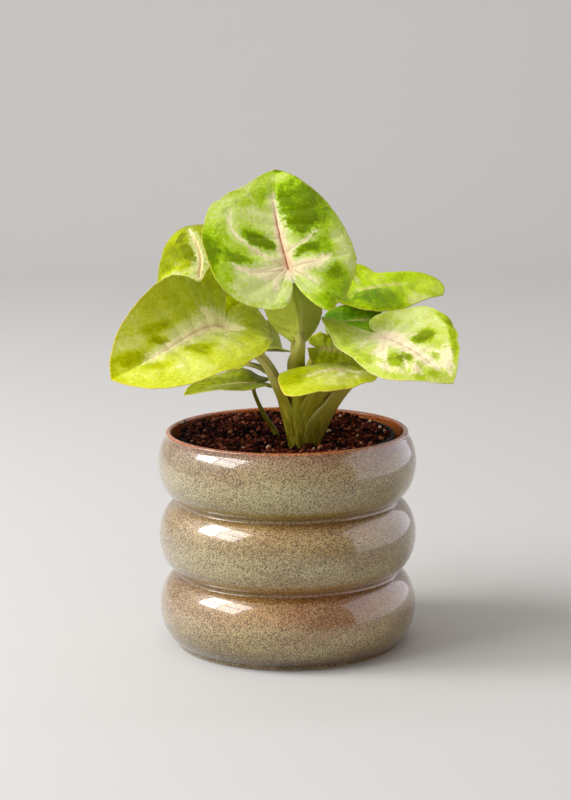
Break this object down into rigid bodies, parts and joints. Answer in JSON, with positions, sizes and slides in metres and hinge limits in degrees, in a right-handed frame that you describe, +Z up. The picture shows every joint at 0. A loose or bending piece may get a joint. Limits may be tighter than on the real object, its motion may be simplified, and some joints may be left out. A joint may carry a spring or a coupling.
{
  "type": "arrowhead plant in a pot",
  "caption": "Young arrowhead plant with variegated arrow-shaped leaves on upright stalks, growing in a black nursery pot inside a ringed, glazed stoneware planter.",
  "frame": {"origin": "centre of the planter's foot, on the surface it stands on", "axes": "+Z up, -Y to the front, +X to the right"},
  "size_m": [0.1802, 0.1517, 0.2548],
  "materials": {
    "glazed_stoneware": "glossy speckled glaze",
    "black_plastic": "satin",
    "potting_soil": "crumbly",
    "leaf_stalk": "satin",
    "lime_blade": "satin",
    "cream_blade": "satin",
    "olive_blade": "satin"
  },
  "bodies": {
    "root": {"planter": "glazed_stoneware", "nursery_pot": "black_plastic", "soil": "potting_soil", "crown": "leaf_stalk", "stalk_top": "leaf_stalk", "blade_top": "cream_blade", "stalk_left": "leaf_stalk", "blade_left": "lime_blade", "stalk_upper_left": "leaf_stalk", "blade_upper_left": "olive_blade", "stalk_right": "leaf_stalk", "blade_right": "cream_blade", "stalk_upper_right": "leaf_stalk", "blade_upper_right": "lime_blade", "stalk_front": "leaf_stalk", "blade_front": "lime_blade", "stalk_lower_left": "leaf_stalk", "blade_lower_left": "olive_blade", "stalk_young": "leaf_stalk", "blade_young": "olive_blade", "stalk_inner_left": "leaf_stalk", "blade_inner_left": "olive_blade", "stalk_inner_right": "leaf_stalk", "blade_inner_right": "olive_blade", "stalk_middle_right": "leaf_stalk", "blade_middle_right": "olive_blade"}
  },
  "joints": []
}
